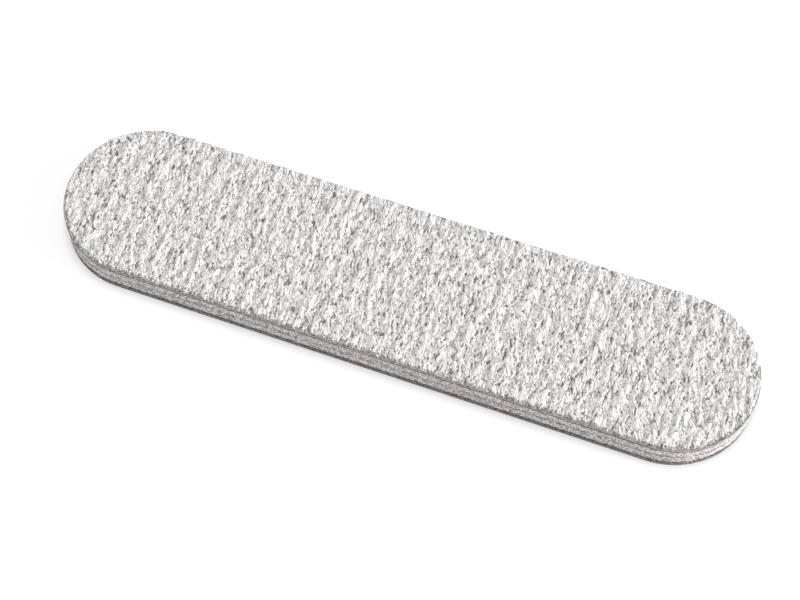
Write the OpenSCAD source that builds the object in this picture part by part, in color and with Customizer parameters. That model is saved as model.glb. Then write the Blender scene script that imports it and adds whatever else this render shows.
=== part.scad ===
// Two-sided emery board: a two-ply greyboard core between two sheets of ridged abrasive paper.
// X runs along the board, Y across it and Z up. The origin is the middle of the underside.
// The layers lie face to face, and each takes its height from the layer under it.

/* [Board] */
// Length from tip to tip
board_length = 90; // [60:1:140]
// Width, which is also the diameter of the half round ends
board_width = 21; // [15:0.5:28]

/* [Core] */
// Thickness of each of the two greyboard plies
ply_t = 1.375; // [0.8:0.025:2]
// Thickness of the glue line that joins the two plies
core_glue_t = 0.1; // [0.05:0.01:0.2]

/* [Facings] */
// Thickness of the glue film under each backing paper
film_t = 0.15; // [0.05:0.01:0.2]
// How far every glue layer lies back from the cut edge
glue_setback = 0.05; // [0.05:0.05:0.4]
// Thickness of each backing paper
paper_t = 0.25; // [0.2:0.05:0.8]
// Thickness of the resin bond coat that holds the grain on each paper
bond_t = 0.1; // [0.05:0.01:0.2]

/* [Grain coat] */
// Thickness of the grain coat in its valleys
valley_t = 0.3; // [0.15:0.05:0.4]
// Height of a full ridge above the valleys
ridge_h = 0.15; // [0.05:0.05:0.4]
// Mean distance from one ridge to the next along the board
ridge_pitch = 2.5; // [2.4:0.1:4]
// Share by which single gaps between ridges are wider or narrower than the mean
pitch_play = 0.2; // [0:0.05:0.2]
// Width of a ridge's flat crest
crest_w = 0.6; // [0.4:0.05:0.8]
// Width of each sloping flank, seen from above
flank_w = 0.45; // [0.3:0.05:0.5]
// How far neighbouring ridges sway together along the board
sway = 0.3; // [0:0.05:0.6]
// Length of one sway, measured across the board
sway_l = 11; // [9:1:24]
// Depth of the chips along the cut rim of the grain
chip_d = 0.04; // [0:0.01:0.1]

/* [Hidden] */

// Finish of the round ends
$fn = 96;

// Outline
end_r = board_width / 2;
straight_l = board_length - board_width;

// Heights of the layers, from the table up
grain_t = valley_t + ridge_h;
paper_z = grain_t + bond_t;
film_z = paper_z + paper_t;
core_z = film_z + film_t;
core_glue_z = core_z + ply_t;
board_t = 2 * core_glue_z + core_glue_t;

// Points of the ridged face: columns across the board, rows along it
column_w = 1.17;
cols = 2 * round(board_width / 2 / column_w);
tip_rows = 4;
tip_land = 0.95;
tip_angle = acos(1 - tip_land / end_r);
ridge_count = floor((board_length - 2 * tip_land) / ridge_pitch);
ridges_x = -ridge_count * ridge_pitch / 2;
ridge_w = crest_w + 2 * flank_w;

// Stretch from each tip over which the ridges settle into their sway
settle_l = 6;
// Length of board over which the sway passes through one full turn
sway_turn_l = 23;
// Share of the narrowest valley by which a ridge may stray by itself
stray_share = 0.45;
// Weakest and strongest draw of a ridge: below 0 it breaks off, above 1 its crest is full
strength_range = [-0.5, 2.1];
// Share of the end radius up to which the rim stays whole
whole_rim = 0.45;
top_seed = 11;
bottom_seed = 47;
// Seeds kept for each ridge, and how far ahead of its face's first seed the gaps' seed stands
seeds_a_ridge = 7;
gap_seed = 3;

// Half the board's width at x
function half_w(x) =
    let (past = max(0, abs(x) - straight_l / 2))
    sqrt(max(0, end_r * end_r - past * past));

// Rises smoothly from 0 to 1 as t does
function ease(t) =
    let (c = min(1, max(0, t)))
    c * c * (3 - 2 * c);

// Each value blended with its neighbours
function blended(v) =
    [for (j = [0 : len(v) - 1]) (v[max(0, j - 1)] + 2 * v[j] + v[min(len(v) - 1, j + 1)]) / 4];

// Random values, one for each column, that change gently across the board
function wander(low, high, seed) = blended(rands(low, high, cols + 1, seed));

// How far the point of column j at station s shifts along the board
function shift(s, j, own) =
    let (
        v = 2 * j / cols - 1,
        y = v * half_w(s),
        turn = y / sway_l + s / sway_turn_l
    )
    ease((board_length / 2 - abs(s)) / settle_l) * (sway * sin(360 * turn) + own);

// A rim point drawn in towards the centre line by the depth of its chip
function chipped(p, depth) =
    let (
        middle = [min(straight_l / 2, max(-straight_l / 2, p[0])), 0],
        whole = half_w(p[0]) / end_r,
        share = depth * ease((whole - whole_rim) / (1 - whole_rim)) / end_r
    )
    middle + (p - middle) * (1 - share);

// One row of points across the coat at station s
function grain_row(s, own, heights, chips) = [
    for (j = [0 : cols])
        let (
            x = s + shift(s, j, own[j]),
            at_rim = j == 0 || j == cols,
            p = [x, (2 * j / cols - 1) * half_w(x)],
            q = at_rim ? chipped(p, chips[j == 0 ? 0 : 1]) : p
        )
        [q[0], q[1], heights[j]]
];

// Level rows that carry the outline round a tip, counted from the tip inwards
function tip_row(k, end) =
    let (
        s = end * (board_length / 2 - end_r * (1 - cos(tip_angle * k / tip_rows))),
        level = [for (j = [0 : cols]) valley_t],
        still = [for (j = [0 : cols]) 0]
    )
    grain_row(s, still, level, [0, 0]);

// Lengths of board that the ridges take up, each with its half of the two valleys beside it
function ridge_gaps(seed) =
    let (
        shares = rands(1 - pitch_play, 1 + pitch_play, ridge_count, seed),
        total = shares * [for (s = shares) 1]
    )
    shares * (ridge_count * ridge_pitch / total);

// Where the first foot of each ridge stands
function ridge_feet(gaps) = [
    for (i = 0, x = ridges_x; i < ridge_count; x = x + gaps[i], i = i + 1)
        x + (gaps[i] - ridge_w) / 2
];

// The four rows of ridge i: foot, crest, crest, foot
function ridge_rows(i, foot, stray, seed) =
    let (
        own = wander(-1, 1, seed + seeds_a_ridge * i) * stray,
        strength = wander(strength_range[0], strength_range[1], seed + seeds_a_ridge * i + 1),
        crest = [for (f = strength) valley_t + ridge_h * max(0, min(1, f))],
        floor_z = [for (j = [0 : cols]) valley_t],
        chips = rands(0, chip_d, 8, seed + seeds_a_ridge * i + 2)
    )
    [
        grain_row(foot, own, floor_z, [chips[0], chips[1]]),
        grain_row(foot + flank_w, own, crest, [chips[2], chips[3]]),
        grain_row(foot + flank_w + crest_w, own, crest, [chips[4], chips[5]]),
        grain_row(foot + 2 * flank_w + crest_w, own, floor_z, [chips[6], chips[7]])
    ];

// All rows of one face, from the tip at -X to the tip at +X
function face_rows(seed) =
    let (
        gaps = ridge_gaps(seed + gap_seed),
        feet = ridge_feet(gaps),
        stray = stray_share * max(0, min(gaps) - ridge_w)
    )
    concat(
        [for (k = [1 : tip_rows]) tip_row(k, -1)],
        [for (i = [0 : ridge_count - 1]) each ridge_rows(i, feet[i], stray, seed)],
        [for (k = [tip_rows : -1 : 1]) tip_row(k, 1)]
    );

// Stadium plate of thickness t, drawn in from the cut edge by inset
module plate(t, inset = 0) {
    linear_extrude(t)
        union() {
            square([straight_l, board_width - 2 * inset], center = true);
            for (end = [-1, 1])
                translate([end * straight_l / 2, 0])
                    circle(end_r - inset);
        }
}

// Crust of grain with its flat back at z = 0 and its ridges upwards
module ridged_crust(seed) {
    rows = face_rows(seed);
    n = len(rows);
    wide = cols + 1;
    left = n * wide;
    right = left + 1;
    back = right + 1;
    back_left = back + 2 * n;
    back_right = back_left + 1;
    points = concat(
        [for (row = rows) each row],
        [[-board_length / 2, 0, valley_t], [board_length / 2, 0, valley_t]],
        [for (row = rows) each [[row[0][0], row[0][1], 0], [row[cols][0], row[cols][1], 0]]],
        [[-board_length / 2, 0, 0], [board_length / 2, 0, 0]]
    );
    last = (n - 1) * wide;
    surface_faces = [
        for (i = [0 : n - 2])
            for (j = [0 : cols - 1])
                let (a = i * wide + j, b = a + wide)
                each (i + j) % 2 == 0
                    ? [[a, a + 1, b + 1], [a, b + 1, b]]
                    : [[a, a + 1, b], [a + 1, b + 1, b]]
    ];
    tip_faces = [
        for (j = [0 : cols - 1])
            each [[left, j + 1, j], [right, last + j, last + j + 1]]
    ];
    near_wall = [
        for (i = [0 : n - 2])
            let (a = i * wide, c = back + 2 * i)
            each [[a, a + wide, c], [a + wide, c + 2, c]]
    ];
    far_wall = [
        for (i = [0 : n - 2])
            let (a = i * wide + cols, c = back + 2 * i + 1)
            each [[a, c, a + wide], [a + wide, c, c + 2]]
    ];
    tip_walls = [
        [left, 0, back], [left, back, back_left],
        [left, back_left, back + 1], [left, back + 1, cols],
        [right, back_right, back + 2 * n - 2], [right, back + 2 * n - 2, last],
        [right, last + cols, back + 2 * n - 1], [right, back + 2 * n - 1, back_right]
    ];
    back_face = [concat(
        [back_left],
        [for (i = [0 : n - 1]) back + 2 * i],
        [back_right],
        [for (i = [n - 1 : -1 : 0]) back + 2 * i + 1]
    )];
    polyhedron(
        points,
        concat(surface_faces, tip_faces, near_wall, far_wall, tip_walls, back_face),
        convexity = 4
    );
}

module core_ply_lower() {
    color([0.68, 0.65, 0.64])
        translate([0, 0, core_z])
            plate(ply_t);
}

module core_ply_upper() {
    color([0.70, 0.67, 0.66])
        translate([0, 0, core_glue_z + core_glue_t])
            plate(ply_t);
}

module core_glue_line() {
    color([0.56, 0.53, 0.52])
        translate([0, 0, core_glue_z])
            plate(core_glue_t, glue_setback);
}

module glue_film_bottom() {
    color([0.50, 0.47, 0.46])
        translate([0, 0, film_z])
            plate(film_t, glue_setback);
}

module glue_film_top() {
    color([0.50, 0.47, 0.46])
        translate([0, 0, board_t - film_z - film_t])
            plate(film_t, glue_setback);
}

module backing_paper_bottom() {
    color([0.45, 0.42, 0.42])
        translate([0, 0, paper_z])
            plate(paper_t);
}

module backing_paper_top() {
    color([0.60, 0.58, 0.58])
        translate([0, 0, board_t - paper_z - paper_t])
            plate(paper_t);
}

module bond_coat_bottom() {
    color([0.42, 0.40, 0.40])
        translate([0, 0, grain_t])
            plate(bond_t);
}

module bond_coat_top() {
    color([0.42, 0.40, 0.40])
        translate([0, 0, board_t - grain_t - bond_t])
            plate(bond_t);
}

module grain_coat_bottom() {
    color([0.84, 0.84, 0.83])
        translate([0, 0, grain_t])
            mirror([0, 0, 1])
                ridged_crust(bottom_seed);
}

module grain_coat_top() {
    color([0.86, 0.86, 0.85])
        translate([0, 0, board_t - grain_t])
            ridged_crust(top_seed);
}

core_ply_lower();
core_ply_upper();
core_glue_line();
glue_film_bottom();
glue_film_top();
backing_paper_bottom();
backing_paper_top();
bond_coat_bottom();
bond_coat_top();
grain_coat_bottom();
grain_coat_top();
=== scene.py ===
import math

import bpy
import numpy as np
from mathutils import Matrix, Vector


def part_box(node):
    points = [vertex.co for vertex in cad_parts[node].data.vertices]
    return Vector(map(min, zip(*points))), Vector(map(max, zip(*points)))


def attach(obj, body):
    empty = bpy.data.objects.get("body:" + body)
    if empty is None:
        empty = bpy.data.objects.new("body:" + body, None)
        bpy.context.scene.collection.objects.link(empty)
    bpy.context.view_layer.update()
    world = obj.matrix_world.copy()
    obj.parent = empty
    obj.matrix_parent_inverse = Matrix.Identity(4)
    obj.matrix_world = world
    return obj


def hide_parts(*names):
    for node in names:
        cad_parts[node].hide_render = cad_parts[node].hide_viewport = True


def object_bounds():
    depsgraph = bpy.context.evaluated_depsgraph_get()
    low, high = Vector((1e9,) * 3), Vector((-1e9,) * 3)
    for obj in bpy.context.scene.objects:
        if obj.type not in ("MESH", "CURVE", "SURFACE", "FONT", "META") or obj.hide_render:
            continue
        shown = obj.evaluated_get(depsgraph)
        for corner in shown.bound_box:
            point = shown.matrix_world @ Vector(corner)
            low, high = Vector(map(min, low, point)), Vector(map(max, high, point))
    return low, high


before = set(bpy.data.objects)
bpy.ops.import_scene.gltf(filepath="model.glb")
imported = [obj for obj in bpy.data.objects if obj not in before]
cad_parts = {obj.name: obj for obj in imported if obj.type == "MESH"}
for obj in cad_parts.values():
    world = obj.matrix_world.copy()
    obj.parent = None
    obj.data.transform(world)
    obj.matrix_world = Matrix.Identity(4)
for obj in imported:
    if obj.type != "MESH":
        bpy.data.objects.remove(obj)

CAD_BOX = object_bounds()

bl_info = {
    "name": "Emery Board",
    "version": (1, 0, 0),
    "blender": (4, 5, 0),
    "location": "3D View > Sidebar > Emery Board",
    "description": "Builds the layers of a two-sided emery board and a plain stage around it",
    "category": "Add Mesh",
}

# Pieces are shaped in millimetres and brought to metres when they are done
MM = 1000.0
# Radius of the round ends and length of the straight sides, in millimetres
END_R = CAD_BOX[1].y * MM
STRAIGHT = (CAD_BOX[1].x - CAD_BOX[0].x) * MM - 2 * END_R
# Thickness of a grain coat at its crests and in its valleys, in millimetres
GRAIN_T = (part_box("grain_coat_top")[1].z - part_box("grain_coat_top")[0].z) * MM
VALLEY_T = max(p.co.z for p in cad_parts["grain_coat_top"].data.vertices
               if p.co.x > CAD_BOX[1].x - 1e-6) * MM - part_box("grain_coat_top")[0].z * MM

# Lengths below this count as none, in millimetres
TOUCH = 0.001


# Sizes and colours that a user may change

class GrainSizes(bpy.types.PropertyGroup):
    """Relief and colours of the two grain coats."""

    mesh_step: bpy.props.FloatProperty(
        name="Mesh Step", description="Distance between the points of a grain coat's mesh",
        default=0.00015, min=0.00012, max=0.0004, precision=6, unit="LENGTH", subtype="DISTANCE")
    wrinkle_size: bpy.props.FloatProperty(
        name="Wrinkle Size", description="Width of one wrinkle of the coat along the board",
        default=0.00075, min=0.0003, max=0.002, precision=6, unit="LENGTH", subtype="DISTANCE")
    wrinkle_stretch: bpy.props.FloatProperty(
        name="Wrinkle Stretch", description="How much longer a wrinkle is across the board than along it",
        default=2.6, min=1.0, max=4.0, subtype="FACTOR")
    wrinkle_lean: bpy.props.FloatProperty(
        name="Wrinkle Lean", description="Angle by which the wrinkles lean from straight across the board",
        default=math.radians(3), min=-math.pi / 4, max=math.pi / 4, unit="ROTATION", subtype="ANGLE")
    crease_lean: bpy.props.FloatProperty(
        name="Crease Lean", description="Angle by which the fine creases lean",
        default=math.radians(18), min=-math.pi / 4, max=math.pi / 4, unit="ROTATION", subtype="ANGLE")
    wrinkle_depth: bpy.props.FloatProperty(
        name="Wrinkle Depth", description="Height of the wrinkles and lumps of the coat",
        default=0.00024, min=0.0, max=0.0004, precision=6, unit="LENGTH", subtype="DISTANCE")
    crevice_depth: bpy.props.FloatProperty(
        name="Crevice Depth", description="Depth of the crevices between lumps",
        default=0.00005, min=0.0, max=0.0002, precision=6, unit="LENGTH", subtype="DISTANCE")
    pit_depth: bpy.props.FloatProperty(
        name="Pit Depth", description="Depth of the pits where a grain is missing",
        default=0.00006, min=0.0, max=0.0002, precision=6, unit="LENGTH", subtype="DISTANCE")
    ridge_share: bpy.props.FloatProperty(
        name="Ridge Share", description="Share of the ridges' height that the worn coat keeps",
        default=0.77, min=0.0, max=1.0, subtype="FACTOR")
    crest_colour: bpy.props.FloatVectorProperty(
        name="Crest Colour", description="Colour of the pale coat on the crests",
        default=(0.905, 0.89, 0.878), min=0.0, max=1.0, subtype="COLOR")
    # The valley colour is the coat with painted shade: darker in the valleys than on the crests
    valley_shade_colour: bpy.props.FloatVectorProperty(
        name="Valley Colour", description="Colour of the coat in the valleys",
        default=(0.86, 0.845, 0.834), min=0.0, max=1.0, subtype="COLOR")
    # The pit colour is bare grain with painted shade of the pits and crevices
    pit_and_shade_colour: bpy.props.FloatVectorProperty(
        name="Pit Colour", description="Colour of bare grain in pits and crevices",
        default=(0.24, 0.236, 0.233), min=0.0, max=1.0, subtype="COLOR")
    # The crease colour is thin coat with painted shade in the fine creases
    crease_shade_colour: bpy.props.FloatVectorProperty(
        name="Crease Colour", description="Colour of the thin coat in fine creases",
        default=(0.40, 0.393, 0.388), min=0.0, max=1.0, subtype="COLOR")
    cut_top_colour: bpy.props.FloatVectorProperty(
        name="Upper Cut Colour", description="Colour of the upper grain where the rim is cut",
        default=(0.50, 0.47, 0.465), min=0.0, max=1.0, subtype="COLOR")
    # The lower cut colour is about half the upper one, partly as painted shade of the lower sheet near the
    # floor
    cut_bottom_shaded_colour: bpy.props.FloatVectorProperty(
        name="Lower Cut Colour", description="Colour of the lower grain where the rim is cut",
        default=(0.25, 0.225, 0.225), min=0.0, max=1.0, subtype="COLOR")


class CardSizes(bpy.types.PropertyGroup):
    """Colours of the board's cut edge."""

    core_colour: bpy.props.FloatVectorProperty(
        name="Core Colour", description="Colour of the greyboard plies",
        default=(0.585, 0.542, 0.537), min=0.0, max=1.0, subtype="COLOR")
    paper_top_colour: bpy.props.FloatVectorProperty(
        name="Upper Paper Colour", description="Colour of the upper backing paper",
        default=(0.52, 0.485, 0.48), min=0.0, max=1.0, subtype="COLOR")
    # The lower paper and bond colours are about half the upper ones, partly as painted shade of the lower
    # sheet near the floor
    paper_bottom_shaded_colour: bpy.props.FloatVectorProperty(
        name="Lower Paper Colour", description="Colour of the lower backing paper",
        default=(0.275, 0.247, 0.247), min=0.0, max=1.0, subtype="COLOR")
    bond_top_colour: bpy.props.FloatVectorProperty(
        name="Upper Bond Colour", description="Colour of the resin under the upper grain",
        default=(0.47, 0.44, 0.435), min=0.0, max=1.0, subtype="COLOR")
    bond_bottom_shaded_colour: bpy.props.FloatVectorProperty(
        name="Lower Bond Colour", description="Colour of the resin above the lower grain",
        default=(0.20, 0.18, 0.18), min=0.0, max=1.0, subtype="COLOR")
    glue_colour: bpy.props.FloatVectorProperty(
        name="Glue Colour", description="Colour of the glue line in the core",
        default=(0.42, 0.385, 0.38), min=0.0, max=1.0, subtype="COLOR")
    # The film colour is near black: a dark glue line with painted shade of its groove
    film_and_shade_colour: bpy.props.FloatVectorProperty(
        name="Film Colour", description="Colour of the glue films under the papers",
        default=(0.045, 0.04, 0.04), min=0.0, max=1.0, subtype="COLOR")
    fibre_depth: bpy.props.FloatProperty(
        name="Fibre Depth", description="Depth of the torn fibres in the cut edge",
        default=0.00004, min=0.0, max=0.0001, precision=6, unit="LENGTH", subtype="DISTANCE")


class StageSizes(bpy.types.PropertyGroup):
    """Light and floor."""

    sky_strength: bpy.props.FloatProperty(
        name="Sky Strength", description="Strength of the even light from all round",
        default=0.70, min=0.0, max=2.0)
    key_strength: bpy.props.FloatProperty(
        name="Key Strength",
        description="Light of the large lamp, where 1 lights a facing white card to white",
        default=1.2, min=0.0, max=3.0)
    key_height: bpy.props.FloatProperty(
        name="Key Height", description="Angle of the large lamp above the floor",
        default=math.radians(17), min=0.0, max=math.pi / 2, unit="ROTATION", subtype="ANGLE")
    floor_colour: bpy.props.FloatVectorProperty(
        name="Floor Colour", description="Colour of the floor under the board",
        default=(0.9, 0.9, 0.9), min=0.0, max=1.0, subtype="COLOR")
    floor_white: bpy.props.FloatProperty(
        name="Floor White", description="Part of the floor's white that the camera sees whatever the light",
        default=0.76, min=0.0, max=1.0, subtype="FACTOR")
    shadow_share: bpy.props.FloatProperty(
        name="Shadow Share", description="Part of the floor's white that the light and the shadow make",
        default=0.35, min=0.0, max=1.0, subtype="FACTOR")
    # Reach of the painted contact shadow on the floor
    painted_contact_reach: bpy.props.FloatProperty(
        name="Contact Reach", description="How far from the board its contact darkens the floor",
        default=0.0012, min=0.0002, max=0.01, precision=6, unit="LENGTH", subtype="DISTANCE")


# Node trees written as Python expressions

class Wire:
    """An output socket that takes part in Python expressions."""

    def __init__(self, recipe, node, output=0):
        self.recipe = recipe
        live = [s for s in node.outputs if s.enabled]
        if isinstance(output, str):
            live, output = [s for s in live if s.name == output], 0
        self.made = node
        self.socket = live[output] if live else None

    def side(self, name):
        """The output of the same node that has this name."""
        return Wire(self.recipe, self.made, name)

    def maths(self, operation, *values):
        return self.recipe.node("ShaderNodeMath", {"operation": operation}, dict(enumerate(values)))

    def __add__(self, other): return self.maths("ADD", self, other)
    def __radd__(self, other): return self.maths("ADD", other, self)
    def __sub__(self, other): return self.maths("SUBTRACT", self, other)
    def __rsub__(self, other): return self.maths("SUBTRACT", other, self)
    def __mul__(self, other): return self.maths("MULTIPLY", self, other)
    def __rmul__(self, other): return self.maths("MULTIPLY", other, self)
    def __neg__(self): return self.maths("MULTIPLY", self, -1.0)
    def __abs__(self): return self.maths("ABSOLUTE", self)

    def root(self): return self.maths("SQRT", self)
    def least(self, other): return self.maths("MINIMUM", self, other)
    def most(self, other): return self.maths("MAXIMUM", self, other)

    def rise(self, low, high):
        """Goes smoothly from 0 to 1 as the value goes from low to high."""
        return self.recipe.node(
            "ShaderNodeMapRange", {"interpolation_type": "SMOOTHSTEP"},
            {"Value": self, "From Min": low, "From Max": high})

    def fall(self, low, high):
        """Goes smoothly from 1 to 0 as the value goes from low to high."""
        return 1 - self.rise(low, high)


class Recipe:
    """A node tree of a material or of a relief."""

    def __init__(self, tree):
        self.tree = tree

    def node(self, kind, settings=None, values=None):
        """Adds a node, makes its settings, then fills its sockets with values or links."""
        made = self.tree.nodes.new(kind)
        for name, value in (settings or {}).items():
            setattr(made, name, value)
        for key, value in (values or {}).items():
            live = [s for s in made.inputs if s.enabled]
            socket = live[key] if isinstance(key, int) else next(s for s in live if s.name == key)
            if isinstance(value, Wire):
                self.tree.links.new(value.socket, socket)
            else:
                socket.default_value = value
        return Wire(self, made)

    def split(self, vector):
        """The three parts of a vector."""
        parts = self.node("ShaderNodeSeparateXYZ", {}, {"Vector": vector})
        return parts.side("X"), parts.side("Y"), parts.side("Z")

    def attribute(self, name):
        """A value that the relief has kept on the mesh."""
        return self.node("ShaderNodeAttribute", {"attribute_name": name}).side("Fac")

    def vector(self, operation, *values):
        return self.node("ShaderNodeVectorMath", {"operation": operation}, dict(enumerate(values)))

    def stretched(self, vector, share):
        """A vector times one value."""
        return self.node("ShaderNodeVectorMath", {"operation": "SCALE"}, {"Vector": vector, "Scale": share})

    def scaled(self, vector, factors, shift=(0.0, 0.0, 0.0)):
        """A vector times three factors, moved by a shift."""
        return self.vector("ADD", self.vector("MULTIPLY", vector, factors), shift)

    def turned(self, vector, angle):
        """A vector turned about the upright axis."""
        return self.node(
            "ShaderNodeVectorRotate", {"rotation_type": "Z_AXIS"}, {"Vector": vector, "Angle": angle})

    def noise(self, vector, fineness, shift=(0.0, 0.0, 0.0), detail=2.0, roughness=0.5):
        """Smooth noise. The fineness is in lumps per millimetre, one for all directions or one for each."""
        factors = fineness if isinstance(fineness, tuple) else (fineness,) * 3
        return self.node(
            "ShaderNodeTexNoise", {"noise_dimensions": "3D"},
            {"Vector": self.scaled(vector, factors, shift), "Scale": 1.0, "Detail": detail,
             "Roughness": roughness})

    def mix(self, factor, first, second):
        """Blends two colours."""
        return self.node(
            "ShaderNodeMix", {"data_type": "RGBA"}, {"Factor": factor, "A": first, "B": second})

    def warped(self, vector, wavelength, reach):
        """A position pushed about by up to reach by noise of a wavelength."""
        pull = self.noise(vector, 1 / wavelength, detail=1.0).side("Color")
        even = self.vector("SUBTRACT", pull, (0.5,) * 3)
        return self.vector("ADD", vector, self.stretched(even, 2 * reach))


def relief_tree(name):
    """A modifier's node tree, with its recipe and the mesh that comes in."""
    tree = bpy.data.node_groups.new(name, "GeometryNodeTree")
    tree.interface.new_socket("Geometry", in_out="INPUT", socket_type="NodeSocketGeometry")
    tree.interface.new_socket("Geometry", in_out="OUTPUT", socket_type="NodeSocketGeometry")
    recipe = Recipe(tree)
    return recipe, recipe.node("NodeGroupInput")


def carve(recipe, mesh, offset, kept):
    """Keeps the named values on the mesh, then moves its points by the offset."""
    for name, value in kept.items():
        mesh = recipe.node(
            "GeometryNodeStoreNamedAttribute", {"data_type": "FLOAT", "domain": "POINT"},
            {"Geometry": mesh, "Name": name, "Value": value})
    moved = recipe.node("GeometryNodeSetPosition", {}, {"Geometry": mesh, "Offset": offset})
    recipe.node("NodeGroupOutput", {}, {0: moved})


# Handling of objects

def deselect():
    """Closes what is being shaped and leaves nothing in hand."""
    if bpy.context.mode != "OBJECT":
        bpy.ops.object.mode_set(mode="OBJECT")
    bpy.ops.object.select_all(action="DESELECT")


def take(piece):
    """Makes a piece the only one in hand."""
    deselect()
    piece.select_set(True)
    bpy.context.view_layer.objects.active = piece


def pick(piece, domain, choice):
    """Selects faces, edges or points of a piece by a choice made for each, and opens it for shaping."""
    take(piece)
    mesh = piece.data
    kinds = {"POINT": mesh.vertices, "EDGE": mesh.edges, "FACE": mesh.polygons}
    bpy.context.tool_settings.mesh_select_mode = [domain == kind for kind in kinds]
    for elements in kinds.values():
        elements.foreach_set("select", np.zeros(len(elements), dtype=bool))
    kinds[domain].foreach_set("select", np.asarray(choice, dtype=bool))
    bpy.ops.object.mode_set(mode="EDIT")


def points_of(piece):
    """Place of each point."""
    mesh = piece.data
    places = np.zeros(len(mesh.vertices) * 3, dtype=np.float32)
    mesh.vertices.foreach_get("co", places)
    return places.reshape(-1, 3)


def face_middles(piece):
    """Middle of each face."""
    mesh = piece.data
    middles = np.zeros(len(mesh.polygons) * 3, dtype=np.float32)
    mesh.polygons.foreach_get("center", middles)
    return middles.reshape(-1, 3)


def edges_of(piece):
    """The two end points of each edge."""
    mesh = piece.data
    ends = np.zeros(len(mesh.edges) * 2, dtype=np.int32)
    mesh.edges.foreach_get("vertices", ends)
    return points_of(piece)[ends.reshape(-1, 2)]


def apply_modifier(piece, kind, **settings):
    take(piece)
    modifier = piece.modifiers.new(kind.title(), kind)
    for name, value in settings.items():
        setattr(modifier, name, value)
    bpy.ops.object.modifier_apply(modifier=modifier.name)


def apply_relief(piece, recipe):
    apply_modifier(piece, "NODES", node_group=recipe.tree)
    bpy.data.node_groups.remove(recipe.tree)


def seat(piece, node, finish, smooth_angle=None):
    """Brings a shaped piece to metres and puts it in place of its node."""
    take(piece)
    piece.scale = (1 / MM,) * 3
    bpy.ops.object.transform_apply(location=True, rotation=True, scale=True)
    if smooth_angle is None:
        bpy.ops.object.shade_smooth()
    else:
        bpy.ops.object.shade_smooth_by_angle(angle=smooth_angle)
    piece.data.materials.clear()
    piece.data.materials.append(finish)
    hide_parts(node)
    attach(piece, "root")
    deselect()


def heights(node):
    """Lowest and highest point of a node, in millimetres."""
    low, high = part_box(node)
    return low.z * MM, high.z * MM


# Finishes

def new_finish(name):
    """An empty material, its recipe and its place in object space in millimetres."""
    material = bpy.data.materials.new(name)
    material.use_nodes = True
    material.node_tree.nodes.clear()
    recipe = Recipe(material.node_tree)
    place = recipe.node("ShaderNodeTexCoord").side("Object")
    return material, recipe, recipe.scaled(place, (MM,) * 3)


def opaque(colour, share=1.0):
    """A colour made darker or paler by a share, in the form that a socket takes."""
    return (*[min(1.0, c * share) for c in colour], 1.0)


def close_finish(recipe, colour, roughness, height, bump_distance, bump_strength, specular):
    """Feeds the shader. The bump distance is in millimetres."""
    bump = recipe.node(
        "ShaderNodeBump", {},
        {"Strength": bump_strength, "Distance": bump_distance / MM, "Height": height})
    shader = recipe.node(
        "ShaderNodeBsdfPrincipled", {},
        {"Base Color": colour, "Roughness": roughness, "Normal": bump, "Specular IOR Level": specular})
    recipe.node("ShaderNodeOutputMaterial", {}, {"Surface": shader})


def rim_distance(recipe, place):
    """How far a point lies inside the board's outline."""
    x, y, _ = recipe.split(place)
    past = (abs(x) - STRAIGHT / 2).most(0.0)
    return END_R - (past * past + y * y).root()


def rubbed_side(recipe, place):
    """1 along the side whose rim is rubbed bare of its coat, 0 along the other one."""
    _, y, _ = recipe.split(place)
    return y.fall(-0.6 * END_R, 0.2 * END_R)


def grain_pattern(recipe, place, seed, sizes):
    """Wrinkles, crevices, pits and rim chips of the coat, seen from above. Relief and colour both read it."""
    width, stretch = sizes.wrinkle_size * MM, sizes.wrinkle_stretch
    shift = (seed * 31.7, seed * 17.3, seed * 5.1)
    flat = recipe.scaled(recipe.turned(place, -sizes.wrinkle_lean), (1.0, 1.0 / stretch, 0.0), shift)
    drawn = recipe.warped(flat, wavelength=2.4, reach=0.35)
    wrinkle = recipe.noise(drawn, 1.0 / width, roughness=0.68)

    # Crevices follow the middle level of a noise, where another one leaves the ground open
    fold = recipe.noise(drawn, 1.1 / width, (7.0, 3.0, 0.0), detail=1.0)
    open_ground = recipe.noise(drawn, 0.9 / width, (2.0, 9.0, 0.0))
    crevice = abs(fold - 0.5).fall(0.01, 0.09) * open_ground.rise(0.46, 0.56)
    pit = recipe.noise(drawn, 2.4 / width, (4.0, 6.0, 0.0), detail=1.0).fall(0.29, 0.42)

    # Chips reach up to 0.6 mm in along the rubbed side and hardly in along the other one
    ragged = recipe.noise(place, (1.9, 1.9, 0.0), shift, roughness=0.6)
    rubbed = rubbed_side(recipe, place)
    reach = 0.14 * rubbed - 0.02 + ragged.rise(0.34, 0.64) * (0.06 + 0.40 * rubbed)
    chip = (rim_distance(recipe, place) - reach).fall(-0.04, 0.05)
    return wrinkle, crevice, pit, chip


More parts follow.
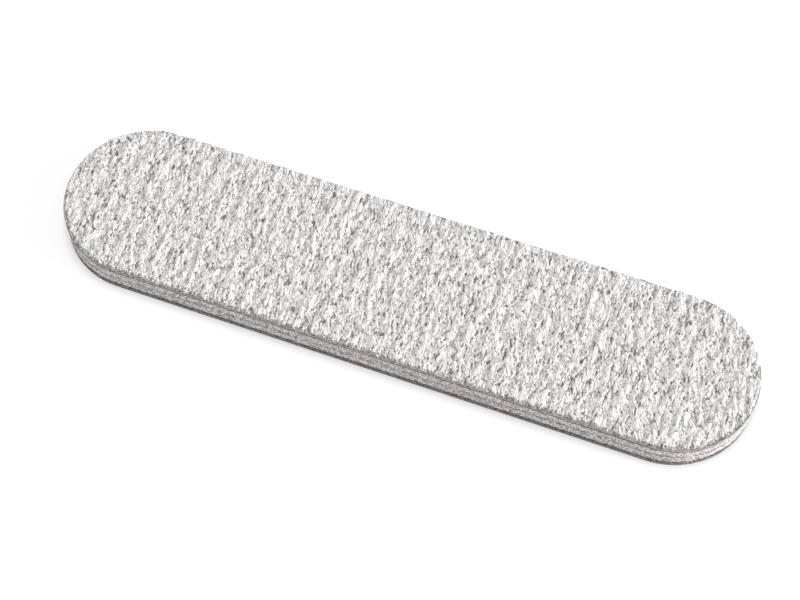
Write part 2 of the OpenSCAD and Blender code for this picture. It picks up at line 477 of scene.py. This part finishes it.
def grain_finish(name, seed, cut_colour, sizes):
    """Pale coat over dark grain: the coat is thin in pits and crevices and cut through at the rim. Valleys,
    creases, pits and crevices also carry painted shade.
    """
    material, recipe, place = new_finish(name)
    wrinkle, crevice, pit, chip = grain_pattern(recipe, place, seed, sizes)
    crest, cut = recipe.attribute("crest"), recipe.attribute("cut")
    leant = recipe.turned(place, -sizes.crease_lean)
    drawn = recipe.warped(recipe.scaled(leant, (1.0, 0.62, 0.6)), wavelength=0.9, reach=0.22)
    lump = recipe.noise(drawn, 3.4, detail=1.0)
    fold = recipe.noise(drawn, 2.5, (5.0, 1.0, 2.0), detail=1.0, roughness=0.6)
    patch = recipe.noise(drawn, (3.3, 1.3, 3.3), (1.0, 8.0, 4.0), detail=1.0)
    speck = recipe.noise(drawn, 5.1, detail=1.5, roughness=0.6)
    powder = recipe.noise(place, 14.0)

    # Creases follow the middle level of a noise and gather in patches, most of all in low ground. Their
    # colour is thin coat with painted shade.
    low_ground = patch - 0.45 * (wrinkle - 0.5) - 0.06 * crest
    crease = abs(fold - 0.5).fall(0.02, 0.08) * low_ground.rise(0.43, 0.51)

    # Painted shade: the coat goes from the darker valley colour in low ground to the crest colour on high
    # ground
    high = (wrinkle + 0.10 * crest + 0.5 * (lump - 0.5) + 0.6 * (speck - 0.5)).rise(0.24, 0.58)
    coat = recipe.mix(high, opaque(sizes.valley_shade_colour), opaque(sizes.crest_colour))
    thin = recipe.mix(0.8 * crease, coat, opaque(sizes.crease_shade_colour))
    # Pits, crevices and creases show bare grain, darkened further with painted shade
    bare = (0.5 * crevice + 0.8 * pit + 0.25 * crease + speck - 0.5).rise(0.28, 0.85)
    face = recipe.mix(bare, thin, opaque(sizes.pit_and_shade_colour))

    # The cut rim is speckled grain in resin. Along the side that isn't rubbed, the coat wraps over its edge
    rim = recipe.mix(
        (speck + 0.4 * (powder - 0.5)).rise(0.40, 0.62), opaque(cut_colour, 1.25), opaque(cut_colour, 0.5))
    wrapped = 1 - rubbed_side(recipe, place)
    bared = (1.6 * cut - 0.6 * wrapped).most(0.0).least(1.0)
    colour = recipe.mix(bared.most(chip), face, rim)
    roughness = (0.8 + 0.15 * bare + 0.1 * (powder - 0.5)).least(0.98)
    fine = 1.9 * lump + 2.1 * speck + 0.1 * powder - 0.5 * crease - 0.2 * crevice - 0.3 * pit
    close_finish(recipe, colour, roughness, fine, bump_distance=0.1, bump_strength=1.0, specular=0.3)
    return material


def seam(node, reach, darkening, dashing):
    """Glue that soaks from a node into its neighbours: its height, reach, even darkening and dashes. Along
    the glue films the darkening is partly painted shade.
    """
    return sum(heights(node)) / 2, reach, darkening, dashing


def card_finish(name, base, speckle, dashes, seed, seams):
    """Pressed fibre on its cut edge: speckle, fine lines along the edge, dark dashes and soaked glue, which
    along the glue films is partly painted shade.
    """
    material, recipe, place = new_finish(name)
    shift = (seed * 3.7, seed * 9.1, seed * 2.3)
    streak = recipe.noise(place, (1.3, 1.3, 6.5), shift, detail=3.0, roughness=0.6)
    dash = recipe.noise(place, (1.8, 1.8, 3.2), (17.0 + seed, 5.0, 3.0), roughness=0.6)
    blotch = recipe.noise(place, (3.6, 3.6, 3.2), (3.0, 11.0 + seed, 7.0), roughness=0.7)
    fuzz = recipe.noise(place, (12.0, 12.0, 16.0))
    grade = (0.7 * blotch + 0.2 * streak + 0.1 * fuzz).rise(0.43, 0.57)
    tone = recipe.mix(grade, opaque(base, 1 - speckle), opaque(base, 1 + speckle))

    _, _, up = recipe.split(place)
    soaked = 0.0
    for height, reach, darkening, dashing in seams:
        near = abs(up - height).fall(0.0, reach)
        soaked = soaked + near * darkening
        dash = dash + near * dashing
    if seams:
        uneven = (streak + blotch - 0.5).rise(0.2, 0.7)
        tone = recipe.mix(soaked * uneven, tone, opaque(base, 0.25))
    dashed = dashes * (dash + 0.15 * (fuzz - 0.5)).rise(0.58, 0.66)
    tone = recipe.mix(dashed, tone, opaque(base, 0.35))
    roughness = 0.85 + 0.2 * (fuzz - 0.5)
    height = 0.6 * streak + 0.4 * blotch
    close_finish(recipe, tone, roughness, height, bump_distance=0.05, bump_strength=0.6, specular=0.2)
    return material


# Shapes

def grain_crust(node, side, seed, sizes):
    """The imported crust, remeshed finely, with the lumps, crevices and pits of its grain carved in."""
    low, high = heights(node)
    back = low if side > 0 else high
    piece = bpy.data.objects.new(node + "_grain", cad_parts[node].data.copy())
    bpy.context.scene.collection.objects.link(piece)
    take(piece)
    piece.scale = (MM,) * 3
    bpy.ops.object.transform_apply(location=False, rotation=False, scale=True)
    pick(piece, "FACE", np.ones(len(piece.data.polygons), dtype=bool))
    bpy.ops.mesh.remove_doubles(threshold=TOUCH / 2)
    bpy.ops.object.mode_set(mode="OBJECT")
    apply_modifier(piece, "REMESH", mode="VOXEL", voxel_size=sizes.mesh_step * MM, use_smooth_shade=True)

    # The flat back becomes one face on the ring of points round it
    near_back = 0.45 * sizes.mesh_step * MM
    pick(piece, "FACE", (face_middles(piece)[:, 2] - back) * side < near_back)
    bpy.ops.mesh.delete(type="FACE")
    bpy.ops.mesh.select_mode(type="EDGE")
    bpy.ops.mesh.select_all(action="DESELECT")
    bpy.ops.mesh.select_non_manifold()
    bpy.ops.transform.resize(value=(1, 1, 0), center_override=(0, 0, back))
    bpy.ops.mesh.edge_face_add()
    bpy.ops.mesh.select_all(action="SELECT")
    bpy.ops.mesh.normals_make_consistent(inside=False)
    bpy.ops.object.mode_set(mode="OBJECT")

    # The ridges lose their sharp feet and crests
    wall_height, rim_width = 0.18, 0.25
    places = points_of(piece)
    rise = (places[:, 2] - back) * side
    pick(piece, "POINT", (rise > wall_height) & (outline_distance(places) > rim_width))
    bpy.ops.mesh.vertices_smooth(factor=0.5, repeat=10, xaxis=False, yaxis=False, zaxis=True)
    bpy.ops.object.mode_set(mode="OBJECT")

    recipe, mesh = relief_tree(node + "_relief")
    grain_relief(recipe, mesh, back, side, seed, sizes)
    apply_relief(piece, recipe)
    return piece


def outline_distance(places):
    """How far points lie inside the board's outline, seen from above."""
    past = np.maximum(np.abs(places[:, 0]) - STRAIGHT / 2, 0.0)
    return END_R - np.hypot(past, places[:, 1])


def grain_relief(recipe, mesh, back, side, seed, sizes):
    """Lumps, crevices, pits and rim chips. The lower rim has a burr from the cutting die instead of chips."""
    thinnest, chip_depth, rim_gap = 0.07, 0.1, 0.01
    burr_share, burr_lift = 0.9, 0.02
    place = recipe.node("GeometryNodeInputPosition")
    normal = recipe.node("GeometryNodeInputNormal")
    x, y, z = recipe.split(place)
    _, _, facing = recipe.split(normal)
    over_back = (z - back) * side
    inside = rim_distance(recipe, place)
    held = over_back.rise(0.02, 0.2)
    cut = (facing * side).fall(0.15, 0.6)
    crest = over_back.rise(VALLEY_T, GRAIN_T)

    wrinkle, crevice, pit, chip = grain_pattern(recipe, place, seed, sizes)
    worn = (over_back - VALLEY_T).most(0.0) * (1 - sizes.ridge_share)
    depth = (worn + wrinkle.fall(0.25, 0.75) * (sizes.wrinkle_depth * MM)
             + crevice * (sizes.crevice_depth * MM) + pit * (sizes.pit_depth * MM))
    room = (over_back - thinnest).most(0.0)
    if side > 0:
        depth = (depth + chip * chip_depth).least(room) * (1 - cut) * held
    else:
        on_rim = over_back.rise(0.10, 0.18) * inside.fall(0.12, 0.7)
        burr = (GRAIN_T - burr_lift - over_back).most(0.0) * on_rim
        depth = depth.least(room) * (1 - cut) * held * inside.rise(0.1, 1.2) - burr * burr_share
    down = recipe.node("ShaderNodeCombineXYZ", {}, {"Z": depth * -side})

    # The wall stands along the outline, where the remesh had rounded it
    past = x - x.least(STRAIGHT / 2).most(-STRAIGHT / 2)
    outward = recipe.vector("NORMALIZE", recipe.node("ShaderNodeCombineXYZ", {}, {"X": past, "Y": y}))
    push = (inside - rim_gap).most(0.0) * inside.fall(0.10, 0.16)
    offset = recipe.vector("ADD", down, recipe.stretched(outward, push))
    carve(recipe, mesh, offset, {"crest": crest, "cut": cut})


def layer_plate(name, low, high, inset, step, rounding):
    """A stadium plate with rings of points round its edge, in millimetres."""
    radius = END_R - inset
    arc_points = 2 * round(math.pi * radius / step)
    deselect()
    bpy.ops.mesh.primitive_cylinder_add(
        vertices=arc_points, radius=radius, depth=high - low, end_fill_type="NGON",
        location=(0, 0, (low + high) / 2), rotation=(0, 0, math.pi / arc_points))
    piece = bpy.context.active_object
    piece.name = piece.data.name = name
    bpy.ops.object.transform_apply(location=True, rotation=True, scale=True)
    for end in (-1, 1):
        pick(piece, "POINT", points_of(piece)[:, 0] * end > 0)
        bpy.ops.transform.translate(value=(end * STRAIGHT / 2, 0, 0))
        bpy.ops.object.mode_set(mode="OBJECT")

    # The long sides get as many points as the ends
    ends = edges_of(piece)
    along = np.abs(ends[:, 0] - ends[:, 1])
    pick(piece, "EDGE", along[:, 0] > STRAIGHT / 2)
    bpy.ops.mesh.subdivide(number_cuts=round(STRAIGHT / step) - 1)
    bpy.ops.object.mode_set(mode="OBJECT")

    if rounding:
        ends = edges_of(piece)
        level = np.abs(ends[:, 0, 2] - ends[:, 1, 2]) < TOUCH
        on_rim = [outline_distance(ends[:, end]) < inset + 10 * TOUCH for end in (0, 1)]
        pick(piece, "EDGE", level & on_rim[0] & on_rim[1])
        bpy.ops.mesh.bevel(offset=rounding, segments=2, affect="EDGES", clamp_overlap=False)
        bpy.ops.object.mode_set(mode="OBJECT")

    ends = edges_of(piece)
    tall = np.abs(ends[:, 0, 2] - ends[:, 1, 2])
    flat_run = np.hypot(*(ends[:, 0, :2] - ends[:, 1, :2]).T)
    upright = (tall > 0.5 * (high - low - 2 * rounding)) & (flat_run < TOUCH)
    rings = max(1, round((high - low) / step))
    if rings > 1:
        pick(piece, "EDGE", upright)
        bpy.ops.mesh.subdivide(number_cuts=rings - 1)
        bpy.ops.object.mode_set(mode="OBJECT")
    return piece


def fibre_relief(piece, depth, seed):
    """Torn fibres and shallow dents in the cut edge of a plate. The edge only moves inwards."""
    recipe, mesh = relief_tree(piece.name + "_relief")
    place = recipe.node("GeometryNodeInputPosition")
    normal = recipe.node("GeometryNodeInputNormal")
    _, _, facing = recipe.split(normal)
    outward = recipe.scaled(normal, (1.0, 1.0, 0.0))
    edge = abs(facing).fall(0.6, 0.95)
    shift = (seed * 5.3, seed * 2.9, seed * 1.7)
    fibre = recipe.noise(place, (1.3, 1.3, 7.0), shift, detail=3.0, roughness=0.6)
    dent = recipe.noise(place, (0.35, 0.35, 1.2), shift, detail=1.0)
    torn = (fibre.rise(0.3, 0.75) * depth + dent.rise(0.4, 0.7) * 0.5 * depth) * edge
    carve(recipe, mesh, recipe.stretched(outward, -torn), {})
    apply_relief(piece, recipe)


# Operators, one for each group of like pieces and one for the stage

class EMERY_OT_grain_coats(bpy.types.Operator):
    """Add the two crusts of coated abrasive grain"""

    bl_idname = "emery.grain_coats"
    bl_label = "Grain Coats"

    def execute(self, context):
        sizes = context.scene.emery_grain
        for node, side, cut_colour, seed in (("grain_coat_top", 1, sizes.cut_top_colour, 1),
                                             ("grain_coat_bottom", -1, sizes.cut_bottom_shaded_colour, 2)):
            piece = grain_crust(node, side, seed, sizes)
            seat(piece, node, grain_finish(node + "_finish", seed, cut_colour, sizes))
        return {"FINISHED"}


class EMERY_OT_bond_coats(bpy.types.Operator):
    """Add the resin coats that hold the grain on its paper"""

    bl_idname = "emery.bond_coats"
    bl_label = "Bond Coats"

    def execute(self, context):
        sizes = context.scene.emery_card
        for node, colour, seed in (("bond_coat_top", sizes.bond_top_colour, 3),
                                   ("bond_coat_bottom", sizes.bond_bottom_shaded_colour, 4)):
            card_layer(node, "_resin", colour, speckle=0.4, dashes=0.5, seed=seed,
                       step=0.25, rounding=0.01, depth=0.03)
        return {"FINISHED"}


class EMERY_OT_backing_papers(bpy.types.Operator):
    """Add the backing papers of the two abrasive sheets"""

    bl_idname = "emery.backing_papers"
    bl_label = "Backing Papers"

    def execute(self, context):
        sizes = context.scene.emery_card
        for node, film, colour, speckle, seed in (
                ("backing_paper_top", "glue_film_top", sizes.paper_top_colour, 0.4, 5),
                ("backing_paper_bottom", "glue_film_bottom", sizes.paper_bottom_shaded_colour, 0.7, 6)):
            card_layer(node, "_sheet", colour, speckle, dashes=0.8, seed=seed,
                       step=0.15, rounding=0.02, depth=sizes.fibre_depth * MM,
                       seams=[seam(film, reach=0.22, darkening=1.0, dashing=0.25)])
        return {"FINISHED"}


class EMERY_OT_glue_layers(bpy.types.Operator):
    """Add the glue films under the papers and the glue line between the plies"""

    bl_idname = "emery.glue_layers"
    bl_label = "Glue Layers"

    def execute(self, context):
        sizes = context.scene.emery_card
        for node, colour, dashes, seed in (("glue_film_top", sizes.film_and_shade_colour, 0.3, 7),
                                           ("glue_film_bottom", sizes.film_and_shade_colour, 0.3, 8),
                                           ("core_glue_line", sizes.glue_colour, 1.0, 9)):
            card_layer(node, "_film", colour, speckle=0.6, dashes=dashes, seed=seed,
                       step=0.25, rounding=0.0, depth=0.03)
        return {"FINISHED"}


class EMERY_OT_core_plies(bpy.types.Operator):
    """Add the two greyboard plies of the core"""

    bl_idname = "emery.core_plies"
    bl_label = "Core Plies"

    def execute(self, context):
        sizes = context.scene.emery_card
        for node, film, darkening, seed in (("core_ply_upper", "glue_film_top", 1.0, 10),
                                            ("core_ply_lower", "glue_film_bottom", 0.45, 11)):
            card_layer(node, "_board", sizes.core_colour, speckle=0.42, dashes=0.9, seed=seed,
                       step=0.15, rounding=0.03, depth=sizes.fibre_depth * MM,
                       seams=[seam("core_glue_line", reach=0.34, darkening=0.0, dashing=0.14),
                              seam(film, reach=0.24, darkening=darkening, dashing=0.2)])
        return {"FINISHED"}


def card_layer(node, suffix, colour, speckle, dashes, seed, step, rounding, depth, seams=()):
    """One flat layer of the laminate, in place of its node. Step, rounding and depth are in millimetres."""
    low, high = heights(node)
    inset = max(0.0, END_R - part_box(node)[1].y * MM)
    piece = layer_plate(node + suffix, low, high, inset, step, rounding)
    fibre_relief(piece, depth, seed)
    seat(piece, node, card_finish(node + "_finish", colour, speckle, dashes, seed, seams), math.radians(40))


class EMERY_OT_stage(bpy.types.Operator):
    """Set up the camera, the light and the floor"""

    bl_idname = "emery.stage"
    bl_label = "Stage"

    def execute(self, context):
        sizes = context.scene.emery_stage
        add_camera(context)
        light_world(context, sizes.sky_strength)
        add_key(context, sizes)
        add_floor(sizes)
        context.scene.view_settings.view_transform = "Standard"
        return {"FINISHED"}


def add_camera(context):
    """The photo's camera: its angles, lens and distance were fitted to the board's outline."""
    azimuth, elevation = math.radians(20.0), math.radians(62.372)
    distance, sideways, upwards = 0.22616, -0.000467, 0.000019
    back = Vector((math.sin(azimuth) * math.cos(elevation),
                   -math.cos(azimuth) * math.cos(elevation), math.sin(elevation)))
    right = Vector((math.cos(azimuth), math.sin(azimuth), 0.0))
    up = back.cross(right)
    data = bpy.data.cameras.new("camera")
    data.sensor_width = 36.0
    data.lens = 81.18
    data.clip_start = 0.01
    data.clip_end = 20.0
    camera = bpy.data.objects.new("camera", data)
    context.scene.collection.objects.link(camera)
    turn = Matrix((right, up, back)).transposed().to_4x4()
    camera.matrix_world = Matrix.Translation(distance * back + sideways * right + upwards * up) @ turn
    context.scene.camera = camera


def seen_rays(recipe):
    """1 for rays from the camera, off glossy things and through clear ones, else 0."""
    rays = recipe.node("ShaderNodeLightPath")
    names = ("Is Camera Ray", "Is Glossy Ray", "Is Transmission Ray")
    camera, glossy, clear = [rays.side(name) for name in names]
    return (camera + glossy + clear).least(1.0)


def light_world(context, strength):
    """Even light on the board, and plain white for the camera, for gloss and behind clear things."""
    world = bpy.data.worlds.new("even light")
    world.use_nodes = True
    world.node_tree.nodes.clear()
    recipe = Recipe(world.node_tree)
    full = (1.0, 1.0, 1.0, 1.0)
    light = recipe.node("ShaderNodeBackground", {}, {"Color": full, "Strength": strength})
    white = recipe.node("ShaderNodeBackground", {}, {"Color": full, "Strength": 1.0})
    both = recipe.node("ShaderNodeMixShader", {}, {0: seen_rays(recipe), 1: light, 2: white})
    recipe.node("ShaderNodeOutputWorld", {}, {"Surface": both})
    context.scene.world = world


def add_key(context, sizes):
    """One large soft lamp off the tip of the board that is on the photo's right."""
    distance, size, sideways = 2.4, 1.4, 0.12
    direction = Vector((math.cos(sizes.key_height), sideways, math.sin(sizes.key_height))).normalized()
    data = bpy.data.lights.new("key", "AREA")
    data.shape = "DISK"
    data.size = size
    # The power that gives a facing card at the board an irradiance of pi times the key strength
    area = math.pi * size ** 2 / 4
    solid_angle = area / distance ** 2
    radiance = math.pi * sizes.key_strength / solid_angle
    data.energy = radiance * area * math.pi
    lamp = bpy.data.objects.new("key", data)
    context.scene.collection.objects.link(lamp)
    lamp.location = direction * distance
    lamp.rotation_mode = "QUATERNION"
    lamp.rotation_quaternion = direction.to_track_quat("Z", "Y")
    lamp.visible_camera = False


def add_floor(sizes):
    """A pale floor that the camera sees as white, apart from the board's shadow and a painted contact shadow
    next to the board.
    """
    radius, painted_contact_share = 3.0, 0.35
    deselect()
    bpy.ops.mesh.primitive_circle_add(vertices=96, radius=radius, fill_type="NGON", location=(0, 0, 0))
    floor = bpy.context.active_object
    floor.name = "floor"
    material = bpy.data.materials.new("floor_finish")
    material.use_nodes = True
    material.node_tree.nodes.clear()
    recipe = Recipe(material.node_tree)
    matt = recipe.node("ShaderNodeBsdfDiffuse", {}, {"Color": opaque(sizes.floor_colour)})
    shade = recipe.node("ShaderNodeBsdfDiffuse", {}, {"Color": opaque((sizes.shadow_share,) * 3)})
    openness = recipe.node(
        "ShaderNodeAmbientOcclusion", {"samples": 16}, {"Distance": sizes.painted_contact_reach}).side("AO")
    white = (sizes.floor_white,) * 3
    # Painted contact shadow: ambient occlusion darkens the floor's white glow near the board
    glow = recipe.node(
        "ShaderNodeEmission", {},
        {"Color": recipe.mix(openness, opaque(white, painted_contact_share), opaque(white)), "Strength": 1.0})
    pale = recipe.node("ShaderNodeAddShader", {}, {0: shade, 1: glow})
    both = recipe.node("ShaderNodeMixShader", {}, {0: seen_rays(recipe), 1: matt, 2: pale})
    recipe.node("ShaderNodeOutputMaterial", {}, {"Surface": both})
    floor.data.materials.append(material)
    deselect()


class EMERY_PT_panel(bpy.types.Panel):
    """Lists the steps that build the board"""

    bl_idname = "EMERY_PT_panel"
    bl_label = "Emery Board"
    bl_space_type = "VIEW_3D"
    bl_region_type = "UI"
    bl_category = "Emery Board"

    def draw(self, context):
        for step in STEPS:
            self.layout.operator(step.bl_idname)
        for name in GROUPS:
            group = getattr(context.scene, name)
            box = self.layout.box()
            for size in group.bl_rna.properties:
                if size.identifier not in ("name", "rna_type"):
                    box.prop(group, size.identifier)


GROUPS = {"emery_grain": GrainSizes, "emery_card": CardSizes, "emery_stage": StageSizes}
STEPS = (EMERY_OT_stage, EMERY_OT_core_plies, EMERY_OT_glue_layers, EMERY_OT_backing_papers,
         EMERY_OT_bond_coats, EMERY_OT_grain_coats)


def register():
    for name, group in GROUPS.items():
        bpy.utils.register_class(group)
        setattr(bpy.types.Scene, name, bpy.props.PointerProperty(type=group))
    for made in (*STEPS, EMERY_PT_panel):
        bpy.utils.register_class(made)


def unregister():
    for made in (EMERY_PT_panel, *reversed(STEPS)):
        bpy.utils.unregister_class(made)
    for name, group in GROUPS.items():
        delattr(bpy.types.Scene, name)
        bpy.utils.unregister_class(group)


def main():
    register()
    bpy.ops.emery.stage()
    bpy.ops.emery.core_plies()
    bpy.ops.emery.glue_layers()
    bpy.ops.emery.backing_papers()
    bpy.ops.emery.bond_coats()
    bpy.ops.emery.grain_coats()


if __name__ == "__main__":
    main()
